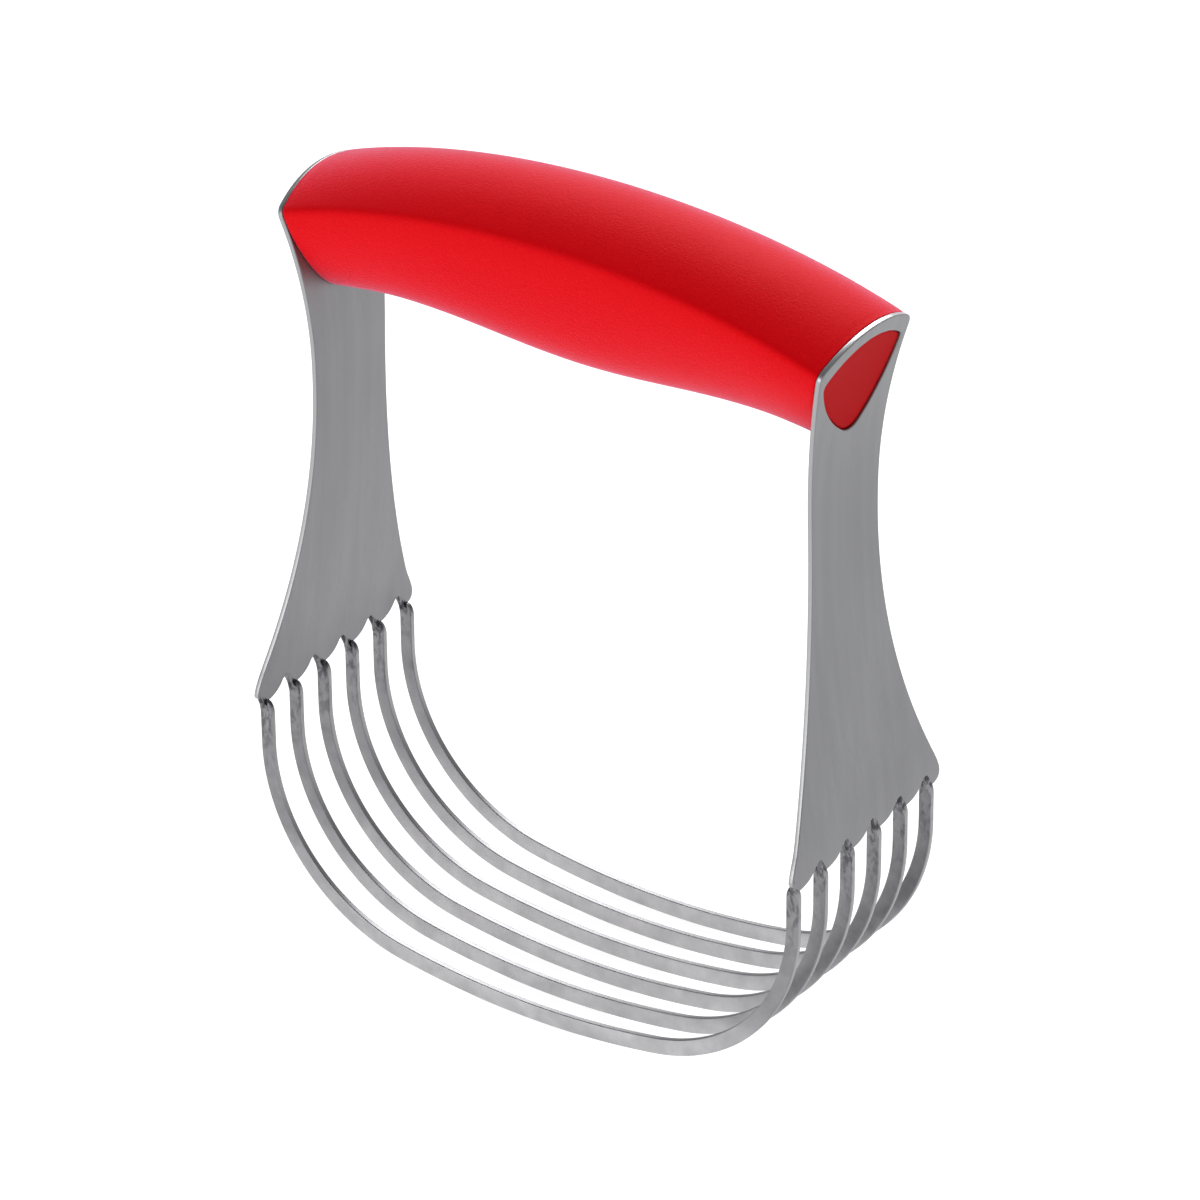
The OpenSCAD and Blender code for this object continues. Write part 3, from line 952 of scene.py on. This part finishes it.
# %% [markdown]
# ## Hard reds
# The plugs in the plates are a harder, duller plastic in a deeper red, with
# a finer grain than the skin's. The core is the same kind of plastic, out of
# sight. Both could share the skin's finish, but they have no sheen, and that
# is what tells them from it.

# %% The inserts' and the core's plastic
def insert_finish():
    red = Finish("matte_red_insert", specular_ior_level=0.03)
    fine = red.noise((2600, 2600, 2600), 3.0)
    broad = red.noise((110, 110, 110), 2.0)
    base = red.mix(red.spread(fine, 0.3, 0.7), (0.42, 0.001, 0.003, 1), (0.46, 0.002, 0.005, 1))
    rough = 0.48 + fine * 0.10 + broad * 0.06
    return red.wear(base, rough, fine, 0.00003, 0.4)


def core_finish():
    red = Finish("moulded_core", specular_ior_level=0.4)
    fine = red.noise((900, 900, 900), 3.0)
    base = red.mix(fine, (0.24, 0.012, 0.014, 1), (0.32, 0.018, 0.02, 1))
    return red.wear(base, 0.45 + fine * 0.12, fine, 0.00003, 0.3)


insert_red, core_red = insert_finish(), core_finish()


# %% Put the finishes on
def wears(piece, material):
    piece.data.materials.clear()
    piece.data.materials.append(material)


for side in SIDES:
    wears(plates[side], plate_steel)
    wears(inserts[side], insert_red)
wears(grip, soft_red)
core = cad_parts["handle_core"]
for i in range(len(core.data.materials)):
    core.data.materials[i] = core_red
if not core.data.materials:
    core.data.materials.append(core_red)
print("materials on the core:", len(core.data.materials))

# %% [markdown]
# ## Laying out the blades
# The row is an empty mesh whose modifier grows the six blades. Its inputs
# are set by their identifiers before it is first looked at, and the result
# is kept as a plain mesh, so nothing is left to work out later.

# %% Lay out the six blades
row = bpy.data.objects.new("row", bpy.data.meshes.new("row"))
bpy.context.scene.collection.objects.link(row)
tree = row_tree()
repeat = row.modifiers.new("row", "NODES")
repeat.node_group = tree
given = {item.name: item.identifier for item in tree.interface.items_tree if item.in_out == "INPUT"}
blade_mesh = baked("blade_mesh", one_blade)
repeat[given["Count"]] = BLADE_COUNT
repeat[given["Pitch"]] = float(PITCH) * MM
repeat[given["Blade"]] = blade_mesh
repeat[given["Material"]] = blade_steel
row.update_tag()
bpy.context.view_layer.update()
blades = baked("blades", row)
bpy.data.objects.remove(blade_mesh)
print("blades:", len(blades.data.polygons), "faces")

# %% [markdown]
# ## Joining the pieces to the frame
# Every piece rides on the part's one body. Each finer mesh stands for the
# plain CAD solids that it replaces, which are hidden.

# %% Ride and replace
def settle(piece, slot, *nodes):
    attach(piece, "root")
    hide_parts(*nodes)
    print(piece.name, "stands for", ", ".join(nodes))


for side in SIDES:
    plates[side] = baked(f"plate_{side}", plates[side])
    inserts[side] = baked(f"insert_{side}", inserts[side])
    settle(plates[side], "plate_steel", f"side_plate_{side}")
    settle(inserts[side], "insert_plastic", f"end_insert_{side}")
grip = baked("grip_skin", grip)
settle(grip, "soft_grip", "grip_sleeve")
settle(blades, "blade_steel", *[f"blade_{k + 1}" for k in range(BLADE_COUNT)])

# %% [markdown]
# ## The studio
# The tool stands on a plain pale floor that runs off in all directions. It
# glows a little, so that it stays white without lamps from above. The world
# is paler low down than high up, for the steel to mirror.

# %% Floor and world
FLOOR_SIZE = 12
HORIZON_GREY = (0.62, 0.62, 0.62, 1)
SKY_GREY = (0.24, 0.24, 0.245, 1)
SKY_FROM = 0.75


def make_floor():
    bpy.ops.mesh.primitive_plane_add(size=FLOOR_SIZE, location=(0, 0, 0))
    floor = bpy.context.object
    floor.name = "floor"
    finish = Finish("pale_floor", roughness=0.9, specular_ior_level=0.1,
                    base_color=(0.35, 0.35, 0.35, 1), emission_color=(1, 1, 1, 1), emission_strength=0.9)
    wears(floor, finish.material)


def make_world():
    world = bpy.data.worlds.new("studio")
    bpy.context.scene.world = world
    world.use_nodes = True
    nodes, links = world.node_tree.nodes, world.node_tree.links
    place = nodes.new("ShaderNodeTexCoord")
    split = nodes.new("ShaderNodeSeparateXYZ")
    ramp = nodes.new("ShaderNodeValToRGB")
    links.new(place.outputs["Generated"], split.inputs[0])
    links.new(split.outputs["Z"], ramp.inputs[0])
    links.new(ramp.outputs[0], nodes["Background"].inputs["Color"])
    nodes["Background"].inputs["Strength"].default_value = 1.0
    horizon, sky = ramp.color_ramp.elements
    horizon.position = 0.0
    horizon.color = HORIZON_GREY
    sky.position = SKY_FROM
    sky.color = SKY_GREY


make_floor()
make_world()
print("floor", FLOOR_SIZE, "m square")

# %% [markdown]
# ## Lamps
# Three broad soft lights come from the front, from behind and, weakly, from
# the right. Little comes from straight above, so the flank of the grip is
# bright, its front crown is deeper and its top edge is veiled with light.
# Point lamps would leave hard spots on the steel.

# %% Lamps
AIM = Vector((0, 0, 0.08))
LAMP_DISTANCE = 0.9


def towards(azimuth, elevation):
    """The direction of a place seen from the tool, from angles in radians. Azimuth 0 is the front."""
    return Vector((math.sin(azimuth) * math.cos(elevation),
                   -math.cos(azimuth) * math.cos(elevation),
                   math.sin(elevation)))


def softbox(name, azimuth, elevation, size, power):
    """A square light aimed at the middle of the tool, angles in degrees."""
    away = towards(math.radians(azimuth), math.radians(elevation))
    data = bpy.data.lights.new(name, "AREA")
    data.size = size
    data.energy = power
    lamp = bpy.data.objects.new(name, data)
    lamp.location = AIM + away * LAMP_DISTANCE
    lamp.rotation_euler = away.to_track_quat("Z", "Y").to_euler()
    bpy.context.scene.collection.objects.link(lamp)
    print("lamp", name, power, "W")


softbox("front", azimuth=-14, elevation=4, size=0.5, power=2.0)
softbox("back_left", azimuth=198, elevation=42, size=0.6, power=8.5)
softbox("right", azimuth=88, elevation=12, size=0.4, power=0.6)

# %% [markdown]
# ## Camera
# The camera looks down on the tool from its right front corner, from far
# enough away that the near and the far plate look almost alike. It could be
# aimed with a Track To constraint, but its place and its axes are worked out
# from angles here, so that it can also lean a little to one side.

# %% Camera
CAMERA_AZIMUTH = 34.84
CAMERA_ELEVATION = 29.64
CAMERA_ROLL = -0.504
CAMERA_DISTANCE = 1.2436
CAMERA_TARGET = Vector((0.00215, -0.00077, 0.07649))
CAMERA_LENS = 213.1


def make_camera():
    azimuth = math.radians(CAMERA_AZIMUTH)
    roll = math.radians(CAMERA_ROLL)
    back = towards(azimuth, math.radians(CAMERA_ELEVATION))
    right = Vector((math.cos(azimuth), math.sin(azimuth), 0))
    up = back.cross(right)
    across = right * math.cos(roll) + up * math.sin(roll)
    over = up * math.cos(roll) - right * math.sin(roll)
    data = bpy.data.cameras.new("camera")
    data.lens = CAMERA_LENS
    data.sensor_width = 36
    data.clip_start = 0.01
    data.clip_end = 50
    camera = bpy.data.objects.new("camera", data)
    bpy.context.scene.collection.objects.link(camera)
    axes = Matrix((across, over, back)).transposed()
    camera.matrix_world = Matrix.Translation(CAMERA_TARGET + back * CAMERA_DISTANCE) @ axes.to_4x4()
    bpy.context.scene.camera = camera
    print("camera", CAMERA_DISTANCE, "m away")


make_camera()
bpy.context.scene.view_settings.view_transform = "Standard"
